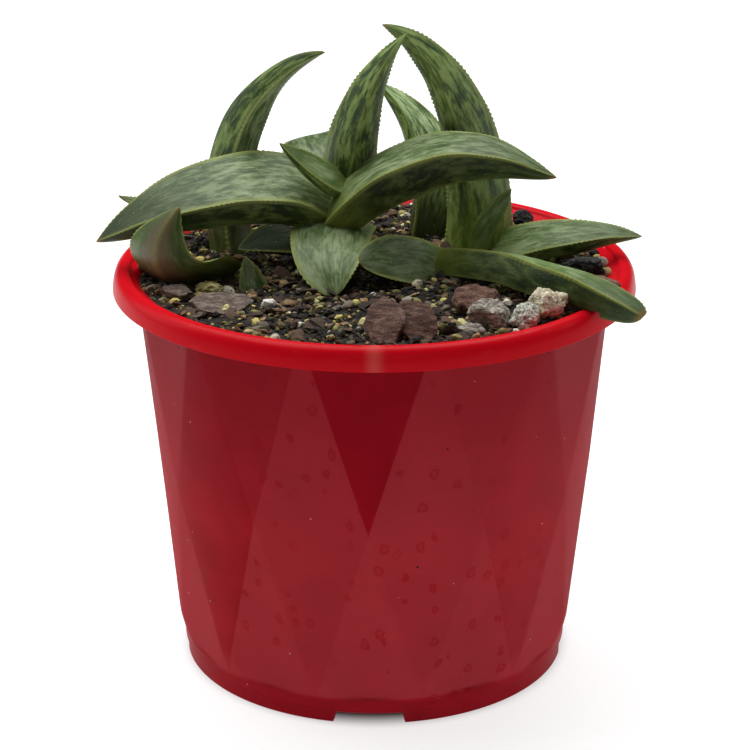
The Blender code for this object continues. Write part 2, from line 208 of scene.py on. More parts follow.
def ringFaces(rows, columns, closedRows=False):
    # quads of a grid that is closed round its columns, and along its rows too if asked
    faces = []
    for row in range(rows if closedRows else rows - 1):
        here = row * columns
        after = (row + 1) % rows * columns
        for column in range(columns):
            beside = (column + 1) % columns
            faces.append((here + column, here + beside, after + beside, after + column))
    return faces


def poleFans(rows, columns, first, last):
    # fans that close both ends of such a grid on the vertices first and last
    fans = [(first, (column + 1) % columns, column) for column in range(columns)]
    base = (rows - 1) * columns
    return fans + [(last, base + column, base + (column + 1) % columns) for column in range(columns)]


# The leaves. spine is a root, two handles and a tip in millimetres; face is where the flat side looks at the
# root and at the tip; keel is where the back's edge lies between the margins; light lifts the whole leaf's
# tone, partly its own and partly painted light and shade, and mottle is how strong its marbling is. The rest is
# only there where it isn't as in leafUsual.
leaves = {
    "left_arching": dict(
        spine=((-6, 14, 121), (-22, 3, 142.6), (-54, -5, 135.6), (-74, -4, 118)), width=20.2, thick=8.4,
        face=((0, -0.5, 0.87), (0, -0.35, 0.93)), keel=-1.0, base=0.8,
        light=1.0, mottle=1.0, back=0.6, tipShade=0.95),
    "right_arching": dict(
        spine=((-15, 6, 120), (1, 2, 145), (25, -4, 152), (48, -5, 136)), width=16, thick=10,
        face=((0, -0.2, 0.98), (0, -0.2, 0.98)), keel=0.9, base=0.7, light=0.97, mottle=0.9, back=0.42),
    "upright": dict(
        spine=((-8, 20, 121), (-7, 16, 141), (-3, 11, 160), (9, 8, 172)), width=14, thick=8,
        face=((0.2, 0.95, 0.2), (0.2, 0.95, 0)), keel=-0.3, base=0.85, peak=0.3, sharp=1.3, blunt=1.0,
        light=1.05, mottle=1.1, back=1.15, tipShade=0.0),
    "left_young": dict(
        spine=((-6, 10, 129), (-11, 6, 133), (-18, 2, 139), (-25, 0, 144)), width=10, thick=4,
        face=((0.1, -0.5, 0.85), (0.1, -0.5, 0.85)), keel=-0.6, base=0.9, peak=0.3, sharp=1.4,
        light=1.2, mottle=0.7),
    "back_arching": dict(
        spine=((-8, 22, 122), (-15, 32, 138), (-18, 48, 137), (-22, 64, 124)), width=26, thick=6,
        face=((-0.15, -0.6, 0.8), (-0.25, 0.4, 0.9)), keel=0.0, peak=0.2, sharp=1.5, light=0.7, mottle=0.9),
    "front_drooping": dict(
        spine=((-8, 10, 121), (-12, -4, 123), (-14, -16, 117), (-10, -22, 109)), width=21, thick=6,
        face=((0, -0.6, 0.8), (-0.05, -0.8, 0.6)), keel=-0.6, base=0.9, peak=0.35, sharp=1.9, blunt=0.64,
        light=1.0, mottle=0.8, tipShade=0.0),
    # painted shade: left_low lies in the shade under left_arching, so its light is low and its root darkened
    "left_low": dict(
        spine=((-10, 8, 117), (-17, 9, 117), (-28, 9, 117), (-37, 8, 112)), width=13, thick=5,
        face=((0, -0.6, 0.8), (0, -0.6, 0.8)), keel=-0.5, light=0.3, mottle=0.7, rootShade=0.5),
    "left_hidden": dict(
        spine=((-11, 26, 121), (-29, 28, 122), (-54, 25, 116), (-70, 19, 124)), width=10, thick=5,
        face=((0, -0.4, 0.9), (0, -0.4, 0.9)), keel=0.0, light=0.85, mottle=0.8),
    "left_outer": dict(
        spine=((-35, 14, 106), (-41, 18, 129), (-33, 18, 155), (-13, 14, 165)), width=12, thick=9,
        face=((0.8, -0.5, 0), (0.5, -0.4, -0.7)), keel=-0.6, base=0.9, peak=0.3, sharp=1.6,
        light=1.1, mottle=1.0, tipShade=0.1, rootShade=0.6),
    "cupped": dict(
        spine=((-42, 1, 107.5), (-49, -8, 114), (-62, -18, 114), (-50.5, -15, 131)), width=30, thick=5,
        face=((0.3, 0.8, 0.5), (0.6, 0.7, 0.1)), keel=0.0, base=0.55, peak=0.4, sharp=1.6, cup=0.12,
        light=0.8, mottle=0.3, flush=0.9, slot="leaf_cupped"),
    "pup": dict(
        spine=((-31, -16, 106), (-32, -15, 110), (-33, -14, 114), (-34, -13, 117)), width=9, thick=4,
        face=((0.4, -0.8, 0.1), (0.4, -0.8, 0.1)), keel=0.0, base=1.0, peak=0.01, sharp=1.5,
        light=0.8, mottle=0.8),
    "tall_arching": dict(
        spine=((28, 22, 105), (32, 24, 133), (22, 20, 164), (2, 12, 173)), width=19, thick=8,
        face=((-0.2, 0.95, 0.15), (-0.2, 0.95, -0.1)), keel=0.5, base=1.0, peak=0.01, sharp=1.6, blunt=0.8,
        light=1.25, mottle=0.9, tipShade=0.0),
    "back_inner": dict(
        spine=((14, 28, 106), (22, 32, 126), (18, 34, 141), (1, 34, 152)), width=13, thick=6,
        face=((0.3, -0.9, 0.1), (0.5, -0.4, 0.75)), keel=-0.8,
        light=1.8, mottle=1.1, tipShade=0.0, rootShade=0.9),
    "right_side": dict(
        spine=((28, 20, 106), (41, 14, 115), (58, 6, 120), (72, 4, 117)), width=14, thick=6,
        face=((0, -0.45, 0.9), (0, -0.45, 0.9)), keel=0.9, base=0.9, peak=0.2, sharp=1.5,
        light=1.0, mottle=0.8),
    "right_front": dict(
        spine=((20, 5, 111.5), (34, -14, 119), (54, -34, 122), (68, -46, 112)), width=11, thick=8,
        face=((0.3, 0.45, 0.85), (0.2, -0.2, 0.95)), keel=1.0, base=0.9, sharp=3.0, blunt=0.5,
        light=1.3, mottle=0.6, back=0.42, tipShade=0.7, flush=0.25),
    "front_centre": dict(
        spine=((23, 7, 107), (15, -4, 112), (4, -13, 118), (-4, -15, 116)), width=15, thick=7,
        face=((-0.1, -0.75, 0.65), (-0.2, -0.75, 0.65)), keel=-0.3, base=0.8, peak=0.4, blunt=0.55,
        light=0.75, mottle=0.8, back=0.7),
    "right_young": dict(
        spine=((27, 9, 108), (29, 10, 119), (34, 11, 124), (37, 12, 128)), width=6, thick=3,
        face=((0.3, -0.8, 0.4), (0.3, -0.8, 0.4)), keel=0.0, light=1.35, mottle=0.6),
}
# base, peak, sharp and blunt say how the width grows and tapers; cup curls the sides up; back is the tone of
# the keeled side, lowered on some leaves as painted shade where that side lies in shade; tipShade and rootShade
# darken the ends; flush browns the middle of the keeled side
leafUsual = dict(
    base=0.72, peak=0.38, sharp=2.0, blunt=0.9, cup=0.0,
    back=1.0, tipShade=0.35, rootShade=0.0, flush=0.0, slot="leaf",
)
leafMake = dict(
    measureSteps=60, rowLength=0.24, acrossFace=13, acrossFlank=9, hollow=0.05, flankBulge=0.25, thinning=0.75,
    rootRound=0.05, rootLeast=0.2,  # share of the length that rounds off the root, and its first width
    toothPitch=1.35, toothHeight=0.38, toothDrift=0.2, driftLength=3.1, wearLength=2.3, leastWorn=0.55,
    toothFull=2.0, swayFull=5.0,  # the half width and the thickness from which teeth and waves are full size
    wobble=0.25, wobbleLengths=((7.0, 1.0), (3.3, 0.5)),  # lengths of the waves and their strengths
    marginWidth=0.9, marginGlow=0.45, keelWidth=3.0, middleWidth=1.5, patternStep=7.3,
    smoothAngle=math.radians(55),
)
rimPlace = dict(inside=61.5, outside=70.9, clear=111.55)  # a leaf that crosses the rim lies on it


def leafSpine(points, share):
    a, b, c, d = (np.array(p, float) for p in points)
    s = share[:, None]
    rest = 1 - s
    place = a * rest**3 + b * (3 * rest**2 * s) + c * (3 * rest * s**2) + d * s**3
    slope = (b - a) * rest**2 + (c - b) * (2 * rest * s) + (d - c) * s**2
    return place, slope / np.linalg.norm(slope, axis=1, keepdims=True)


def leafOutline(keel):
    # the section in units of half the width and of the thickness: across, up, and which side it's on
    face = np.linspace(-1, 1, leafMake["acrossFace"])[:-1]
    points = [(s, leafMake["hollow"] * (1 - s * s), 0.0) for s in face]
    for side, start, end in ((1.0, (1.0, 0.0), (keel, -1.0)), (2.0, (keel, -1.0), (-1.0, 0.0))):
        chord = np.subtract(end, start)
        outward = np.array([-chord[1], chord[0]]) / np.linalg.norm(chord)
        middle = np.add(start, end) / 2 + outward * leafMake["flankBulge"]
        for s in np.linspace(0, 1, leafMake["acrossFlank"])[:-1]:
            point = np.array(start) * (1 - s) ** 2 + middle * (2 * s * (1 - s)) + np.array(end) * s * s
            points.append((point[0], point[1], side))
    return np.array(points)


def leafGrown(leaf, share):
    # the width here as a share of the widest
    rise = np.sin(math.pi / 2 * np.minimum(share / leaf["peak"], 1))
    fall = np.maximum(share - leaf["peak"], 0) / (1 - leaf["peak"])
    taper = np.maximum(1 - fall ** leaf["sharp"], 0) ** leaf["blunt"]
    rounded = np.sqrt(1 - (1 - np.minimum(share / leafMake["rootRound"], 1)) ** 2)
    least = leafMake["rootLeast"]
    return (leaf["base"] + (1 - leaf["base"]) * rise) * taper * (rounded * (1 - least) + least)


def leafTeeth(distance, half, columns, draws):
    # horny teeth along both margins, worn down in places
    teeth = np.zeros((len(distance), columns))
    least = leafMake["leastWorn"]
    for column, turn in ((0, -1), (leafMake["acrossFace"] - 1, 1)):
        phase = draws.random()
        drift = leafMake["toothDrift"] * np.sin(distance / leafMake["driftLength"])
        wave = np.abs(np.sin(math.pi * (distance / leafMake["toothPitch"] + phase + drift)))
        worn = least + (1 - least) * np.sin(distance / leafMake["wearLength"] + 9 * phase)
        height = turn * wave**3 * leafMake["toothHeight"] * worn
        teeth[:, column] = height * np.minimum(half / leafMake["toothFull"], 1)
    return teeth


def leafSway(distance, across, draws):
    # slow waves that keep the flesh from looking turned on a lathe
    return sum(
        np.sin(distance[:, None] / reach + draws.random() * 6 + across * draws.random() * 3)
        * leafMake["wobble"] * strength
        for reach, strength in leafMake["wobbleLengths"]
    )


def makeLeaf(name, leaf, material, seed):
    rough, _ = leafSpine(leaf["spine"], np.linspace(0, 1, leafMake["measureSteps"]))
    length = np.linalg.norm(np.diff(rough, axis=0), axis=1).sum()
    rows = int(length / leafMake["rowLength"])
    share = np.linspace(0, 1, rows + 1)[:-1]
    place, along = leafSpine(leaf["spine"], share)
    rootFace, tipFace = (np.array(f, float) / np.linalg.norm(f) for f in leaf["face"])
    face = rootFace * (1 - share)[:, None] + tipFace * share[:, None]
    face -= along * (face * along).sum(1, keepdims=True)
    face /= np.linalg.norm(face, axis=1, keepdims=True)
    side = np.cross(along, face)
    grown = leafGrown(leaf, share)
    half = leaf["width"] / 2 * grown
    thick = leaf["thick"] * grown ** leafMake["thinning"]
    outline = leafOutline(leaf["keel"])
    across, up, _ = outline.T
    columns = len(outline)
    distance = share * length
    draws = random.Random(seed)
    sideways = half[:, None] * across + leafTeeth(distance, half, columns, draws)
    sway = leafSway(distance, across, draws)
    upward = thick[:, None] * up + sway * np.minimum(thick / leafMake["swayFull"], 1)[:, None]
    upward += leaf["cup"] * half[:, None] * (across**2 - 0.5)
    points = place[:, None, :] + side[:, None, :] * sideways[..., None] + face[:, None, :] * upward[..., None]
    flat = points.reshape(-1, 3)
    radius = np.hypot(flat[:, 0], flat[:, 1])
    onRim = (radius > rimPlace["inside"]) & (radius < rimPlace["outside"])
    flat[onRim, 2] = np.maximum(flat[onRim, 2], rimPlace["clear"])
    ends = np.array([flat[:columns].mean(0), leaf["spine"][3]])
    faces = ringFaces(rows, columns) + poleFans(rows, columns, rows * columns, rows * columns + 1)
    # the outline runs clockwise as seen from the tip, so faces are turned to look out
    piece = addPiece("leaf_" + name, np.vstack([flat, ends]), [f[::-1] for f in faces], material,
                     ["leaf_" + name], leafMake["smoothAngle"])
    leafMarks(piece.data, leaf, seed * leafMake["patternStep"], length, share, half, thick, outline)


def leafMarks(mesh, leaf, patternSlice, length, share, half, thick, outline):
    # what the skin reads at each vertex, with the vertices at the root's and the tip's poles last
    across, up, zone = outline.T
    rows, columns = len(share), len(outline)
    steps = np.hypot(np.diff(across, prepend=across[0]) * leaf["width"] / 2,
                     np.diff(up, prepend=up[0]) * leaf["thick"])
    streak = np.full((rows, columns, 3), patternSlice)
    streak[..., 0] = np.cumsum(steps)
    streak[..., 1] = (share * length)[:, None]
    poles = [[0, 0, patternSlice], [0, length, patternSlice]]
    setAttribute(mesh, "streak", np.vstack([streak.reshape(-1, 3), poles]), "FLOAT_VECTOR")
    # the horny edge is strongest on the two margin points of the section and fades into the flat side
    fade = np.exp(-((1 - np.abs(across)) * half[:, None] / leafMake["marginWidth"] * 2) ** 2)
    fade = np.where(zone[None, :] == 0, fade, 0)
    onMargin = (np.abs(across) > 0.97) & (np.abs(up) < 0.05)
    keelDistance = ((across - leaf["keel"]) * half[:, None]) ** 2 + ((up + 1) * thick[:, None]) ** 2
    marks = dict(
        margin=np.where(onMargin[None, :], 1.0, fade * leafMake["marginGlow"]),
        keel=np.exp(-keelDistance * leafMake["keelWidth"]),
        middle=np.repeat(np.exp(-((across * leafMake["middleWidth"]) ** 2))[None, :], rows, 0),
        share=np.repeat(share[:, None], columns, 1),
        flank=np.repeat((zone > 0)[None, :].astype(float), rows, 0),
    )
    for key, values in marks.items():
        setAttribute(mesh, key, np.append(values.ravel(), [values[0].mean(), 0.5 if key == "flank" else 1.0]))


leafSkin = dict(
    roughness=0.42, specular=0.2, leastRough=0.30, patternRough=0.14, fineRough=0.12,
    # how the pattern is stretched across and along the leaf
    broad=(0.30, 0.12, 1), fine=(0.95, 0.26, 1), lines=(2.6, 0.16, 1), blush=(0.16, 0.08, 1),
    faceContrast=(0.13, 0.12), backContrast=0.09,  # a smaller number gives harder patches
    face=((50, 70, 44), (98, 118, 74), (160, 174, 136)), plain=(88, 112, 50), marbling=0.85,
    back=((46, 64, 38), (82, 104, 48), (124, 144, 82)),
    root=(120, 134, 50), rootReach=0.32, rootStrength=0.55,
    flush=(122, 98, 80), tipShade=(40, 55, 26), rootShade=(20, 27, 10),
    speck=(190, 196, 168), speckStrength=0.5, scar=(88, 66, 38), scarStrength=0.6,
    edge=(150, 160, 80), edgeStrength=0.8, keelEdge=0.35, dryTip=(120, 96, 44), dryTipStrength=0.8,
    flesh=(0.35, 0.0006), pores=(0.12, 0.0002),  # strengths and depths of the bumps
)


def leafFinish(name, leaf):
    # waxy marbled skin: pale flecks and dark streaks along the leaf, horny yellow-green edges, a yellower root
    look = leafSkin
    # light is partly the leaf's own tone and partly painted light and shade: low for leaves in shade, high where
    # a leaf is lit or shows a highlight
    light, mottle = leaf["light"], leaf["mottle"]
    wax = Finish(name, roughness=look["roughness"], Specular_IOR_Level=look["specular"])
    streak = wax.attribute("streak", "Vector")
    share = wax.attribute("share")
    flank = wax.attribute("flank")
    broad = wax.cloud(wax.stretched(streak, look["broad"]), 1.0, 4, 0.6, 0.4)
    fine = wax.cloud(wax.stretched(streak, look["fine"]), 1.0, 4, 0.62, 0.3)
    lines = wax.cloud(wax.stretched(streak, look["lines"]), 1.0, 3, 0.5)
    low, high = (contrast / mottle**0.5 for contrast in look["faceContrast"])
    pattern = (broad * 0.45 + fine * 0.4 + lines * 0.15).smooth(0.5 - low, 0.5 + high)
    dark, middle, pale = (dimmed(tone(*t), light) for t in look["face"])
    between = tuple((a + b) / 2 for a, b in zip(middle, pale))
    marbled = wax.ramp(pattern, [(0.0, dark), (0.42, middle), (0.7, between), (1.0, pale)])
    face = wax.blend(mottle * look["marbling"], dimmed(tone(*look["plain"]), light), marbled)
    # the back is greener, without the pale bloom, and blotched more broadly
    soft = look["backContrast"] / mottle
    blotch = (broad * 0.65 + fine * 0.35).smooth(0.51 - soft, 0.51 + soft)
    backTones = [dimmed(dimmed(tone(*t), light), leaf["back"]) for t in look["back"]]
    skin = wax.blend(flank, face, wax.ramp(blotch, list(zip((0.0, 0.4, 1.0), backTones))))
    # towards the root the marbling fades to yellow-green
    root = (1 - share.smooth(0.0, look["rootReach"])) * look["rootStrength"]
    skin = wax.blend(root, skin, dimmed(tone(*look["root"]), light))
    if leaf["flush"]:
        cloudy = wax.cloud(wax.stretched(streak, look["blush"]), 1.0, 3, 0.5)
        centre = wax.attribute("middle").smooth(0.35, 0.95)
        where = flank * (cloudy * 0.6 + 0.5) * centre * share.smooth(0.3, 0.55) * leaf["flush"]
        skin = wax.blend(where.clamped(), skin, tone(*look["flush"]))
    skin = wax.blend(share.smooth(0.4, 0.95) * leaf["tipShade"], skin, tone(*look["tipShade"]))
    skin = wax.blend((1 - share.smooth(0.1, 0.4)) * leaf["rootShade"], skin, tone(*look["rootShade"]))
    # small pale specks, brown scars, the horny edge and the dry tip
    specks = 1 - wax.cells(wax.stretched(streak, (1.0, 1.0, 1)), 0.55).smooth(0.05, 0.14)
    skin = wax.blend(specks * (1 - flank * 0.7) * look["speckStrength"], skin, tone(*look["speck"]))
    scars = wax.cloud(wax.stretched(streak, (0.5, 0.5, 1)), 1.0, 5, 0.7).smooth(0.68, 0.75)
    skin = wax.blend(scars * look["scarStrength"], skin, tone(*look["scar"]))
    edge = (wax.attribute("margin") + wax.attribute("keel") * look["keelEdge"]).clamped()
    skin = wax.blend(edge * look["edgeStrength"], skin, tone(*look["edge"]))
    skin = wax.blend(share.smooth(0.965, 0.998) * look["dryTipStrength"], skin, tone(*look["dryTip"]))
    flesh = wax.cloud(wax.stretched(streak, (1.6, 0.5, 1)), 1.0, 3, 0.6)
    pores = wax.cells(wax.stretched(streak, (3.2, 2.2, 1)), 1.0)
    normal = wax.bump(pores, *look["pores"], wax.bump(flesh, *look["flesh"]))
    rough = look["leastRough"] + pattern * look["patternRough"] + fine * look["fineRough"]
    return wax.feed(Base_Color=skin, Roughness=rough, Normal=normal)


def makeLeaves():
    for seed, (name, own) in enumerate(leaves.items()):
        leaf = {**leafUsual, **own}
        makeLeaf(name, leaf, leafFinish("leaf_" + name + "_skin", leaf), seed + 1)
    print("leaves made:", len(leaves))


# The pot: twelve facets, each a pair of flat triangles that meet at their points, with bulging lozenges
# between them. Sections of the round parts are radius, z in millimetres.
pot = dict(
    facets=12, turn=-1.5, pointZ=57.0, pointRadius=59.3, upperHeight=55.0, upperHalf=16.72, upperSpread=3.1,
    lowerHeight=50.0, lowerHalf=14.1, lowerDraft=6.66, bulge=1.1, bulgeHalf=15.35, creaseSoft=0.10,
    chamferLowZ=6.0, chamferLowRadius=53.0, chamferTopZ=14.5, chamferTopRadius=55.2, chamferSoft=0.2,
    lipRadius=53.1, lipTopZ=7.2, lipReach=2.0, lipSlope=1.2, lipSoft=0.1,
    notchHalf=10.5, notchHeight=3.0, columns=480, smoothAngle=math.radians(35),
    wallRows=((4.5, 16.0, 22), (17.0, 107.6, 100)),  # from, to and how many
    # radius, how much of the notch's height is added, z
    foot=((50.0, 0.0, 4.8), (50.0, 1.0, 0.15), (50.2, 1.0, 0.0), (52.25, 1.0, 0.0), (52.5, 1.0, 0.25),
          (52.5, 0.5, 2.1), (52.5, 0.0, 4.2), (52.9, 0.0, 4.3)),
    rim=((68.8, 107.6), (68.8, 106.6), (68.85, 105.62), (69.0, 105.5), (69.85, 105.5), (70.0, 105.62),
         (69.93, 106.6), (69.8, 107.6), (69.65, 108.5), (69.45, 109.2), (69.15, 109.9), (68.75, 110.45),
         (68.2, 110.9), (67.6, 111.18), (67.0, 111.3), (66.4, 111.3), (65.9, 111.2), (65.5, 111.0),
         (65.25, 110.7), (65.1, 110.3), (64.9, 110.1), (64.4, 109.8), (63.6, 109.25), (62.6, 108.6),
         (61.8, 108.0), (61.1, 107.4)),
    inside=((60.9, 105.0), (58.0, 76.0), (54.6, 41.0), (51.2, 7.4), (50.9, 5.2)),
    floor=dict(radius=51.3, low=2.6, high=4.8, segments=120, holes=6, holeRadius=4.0, holeRing=30.0,
               holeSegments=40, drillReach=10.0),
    # how much dust and painted sheen each facet has, going right from the front one; the lozenges start right of
    # it
    upperHaze=(0.0, 0.75, 0.8, 0.9, 0.5, 0.7, 0.2, 0.6, 0.8, 0.6, 0.7, 0.3),
    lozengeHaze=(0.85, 0.6, 0.9, 0.7, 0.5, 0.8, 0.4, 0.7, 0.5, 0.95, 0.05, 0.75),
    lowerHaze=(0.95, 0.95, 0.9, 0.8, 0.6, 0.8, 0.7, 0.6, 0.8, 0.9, 0.9, 0.85),
)


def softMin(a, b, k):
    # the smaller of two, rounded over where they meet
    return (a + b - np.sqrt((a - b) ** 2 + k * k)) / 2


def softMax(a, b, k):
    return -softMin(-a, -b, k)


def facetShape(z):
    # half the width of a flat facet at this height, and its distance from the axis
    above = z >= pot["pointZ"]
    share = abs(z - pot["pointZ"]) / pot["upperHeight" if above else "lowerHeight"]
    lean = pot["upperSpread"] if above else -pot["lowerDraft"]
    return pot["upperHalf" if above else "lowerHalf"] * share, pot["pointRadius"] + lean * share


def fromFacet(angle):
    # how far an angle is from the middle of the nearest flat facet, in radians
    step = 2 * math.pi / pot["facets"]
    return np.abs((angle - math.radians(pot["turn"]) + step / 2) % step - step / 2)


def wallRadius(angle, z):
    # distance from the axis of the faceted wall, angles in radians from the front
    halfStep = math.pi / pot["facets"]
    half, flat = facetShape(z)
    reach = half * math.sin(halfStep) + flat * math.cos(halfStep)
    chordHalf = flat * math.sin(halfStep) - half * math.cos(halfStep)
    lozengeAngle = halfStep - fromFacet(angle)
    offset = reach * np.tan(lozengeAngle)
    bulge = pot["bulge"] * (chordHalf**2 - offset**2) / pot["bulgeHalf"] ** 2
    lozenge = (reach + bulge) / np.cos(lozengeAngle)
    return softMin(flat / np.cos(fromFacet(angle)), lozenge, pot["creaseSoft"])


def footedRadius(angle, z):
    # the wall narrows to a chamfer above the foot, and a lip stands out below that
    slope = (pot["chamferTopRadius"] - pot["chamferLowRadius"]) / (pot["chamferTopZ"] - pot["chamferLowZ"])
    cone = pot["chamferLowRadius"] + (z - pot["chamferLowZ"]) * slope
    radius = softMin(wallRadius(angle, z), cone, pot["chamferSoft"])
    if z < pot["lipTopZ"] + pot["lipReach"]:
        lip = pot["lipRadius"] - max(z - pot["lipTopZ"], 0) * pot["lipSlope"]
        radius = softMax(radius, lip, pot["lipSoft"])
    return radius


def facetHaze(angle, z):
    # the dust and painted sheen of the flat facet here, that of the lozenge beside it, and how far inside the
    # flat one a point is
    turned = (angle - math.radians(pot["turn"])) / (2 * math.pi / pot["facets"])
    facet = np.floor(turned + 0.5).astype(int) % pot["facets"]
    between = np.floor(turned).astype(int) % pot["facets"]
    half, flat = facetShape(z)
    flatHaze = np.array(pot["upperHaze" if z >= pot["pointZ"] else "lowerHaze"])[facet]
    return np.stack([flatHaze, np.array(pot["lozengeHaze"])[between], half - flat * np.tan(fromFacet(angle))], 1)


def makePot(material):
    turn = math.radians(pot["turn"])
    angles = np.arange(pot["columns"]) * 2 * math.pi / pot["columns"] + turn
    quarter = math.pi / 2
    fromNotch = np.degrees(np.abs((angles - turn + quarter / 2) % quarter - quarter / 2))
    notch = pot["notchHeight"] * (fromNotch < pot["notchHalf"])
    sections = [(radius, notch * share + z) for radius, share, z in pot["foot"]]
    for z in np.concatenate([np.linspace(*run) for run in pot["wallRows"]]):
        sections.append((footedRadius(angles, z), z))
    sections += pot["rim"] + pot["inside"]
    rows, haze = [], []
    for radius, z in sections:
        z = np.broadcast_to(z, angles.shape)
        rows.append(np.stack([radius * np.sin(angles), -radius * np.cos(angles), z], 1))
        haze.append(facetHaze(angles, z.max()))
    faces = ringFaces(len(rows), len(angles), closedRows=True)
    shell = addPiece("pot_shell", np.concatenate(rows), faces, material, ["pot"], pot["smoothAngle"])
    setAttribute(shell.data, "haze", np.concatenate(haze), "FLOAT_VECTOR")
    makePotFloor(material)
    print("pot made")


def addDisc(name, radius, low, high, segments, x=0.0, y=0.0):
    disc = bmesh.new()
    bmesh.ops.create_cone(disc, cap_ends=True, segments=segments, radius1=radius * mm, radius2=radius * mm,
                          depth=(high - low) * mm)
    bmesh.ops.translate(disc, vec=(x * mm, y * mm, (high + low) / 2 * mm), verts=disc.verts)
    mesh = bpy.data.meshes.new(name)
    disc.to_mesh(mesh)
    disc.free()
    return addObject(name, mesh)


def makePotFloor(material):
    # a raised disc with one drain hole in the middle and a ring of them round it
    floor = pot["floor"]
    piece = addDisc("pot_floor", floor["radius"], floor["low"], floor["high"], floor["segments"])
    ring = [(index + 0.5) * 2 * math.pi / floor["holes"] for index in range(floor["holes"])]
    centres = [(0, 0)] + [onCircle(floor["holeRing"], a) for a in ring]
    drills = []
    for x, y in centres:
        reach = floor["drillReach"]
        drills.append(addDisc("drill", floor["holeRadius"], -reach, reach, floor["holeSegments"], x, y))
        hole = piece.modifiers.new("hole", "BOOLEAN")
        hole.operation = "DIFFERENCE"
        hole.object = drills[-1]
    bpy.context.view_layer.update()
    drilled = piece.evaluated_get(bpy.context.evaluated_depsgraph_get())
    piece.data = bpy.data.meshes.new_from_object(drilled)
    piece.modifiers.clear()
    for drill in drills:
        bpy.data.objects.remove(drill)
    piece.data.materials.clear()
    piece.data.materials.append(material)
    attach(piece, "root")
    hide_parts("pot")


potSkin = dict(
    roughness=0.3, specular=0.03, coatRoughness=0.22, rimCoat=0.06, dustRough=0.35, grainRough=0.08,
    rim=(0.58, 0.003, 0.010), litRimEdge=(104.5, 105.6),  # the rim is painted brighter than the wall below this height, for light shining through the thin plastic
    wall=((0.28, 0.001, 0.007), (0.35, 0.002, 0.010)),
    shade=(0.12, 0.0, 0.004), shadeReach=(40, 108), shadeStrength=0.5,
    glow=(0.42, 0.004, 0.012), glowStrength=0.45, dustAndSheen=(200, 170, 172), dustAndSheenStrength=0.065,
    lipDust=0.2, lipEdge=(6.8, 8.0), underRimShade=0.45, underRimShadeReach=(50, 106),
    dropSize=(0.22, 0.22, 0.18), dropBend=2.2, dropStrength=0.6,
    palePatch=(240, 190, 185), palePatchStrength=0.04, rimHighlight=(250, 190, 170), rimHighlightStrength=0.10, rimHighlightWidth=0.3,
    grit=(225, 190, 180), gritStrength=0.6, darkGrit=(40, 20, 16),
    warp=(0.10, 0.004), grain=(0.06, 0.0003),  # strengths and depths of the bumps
)


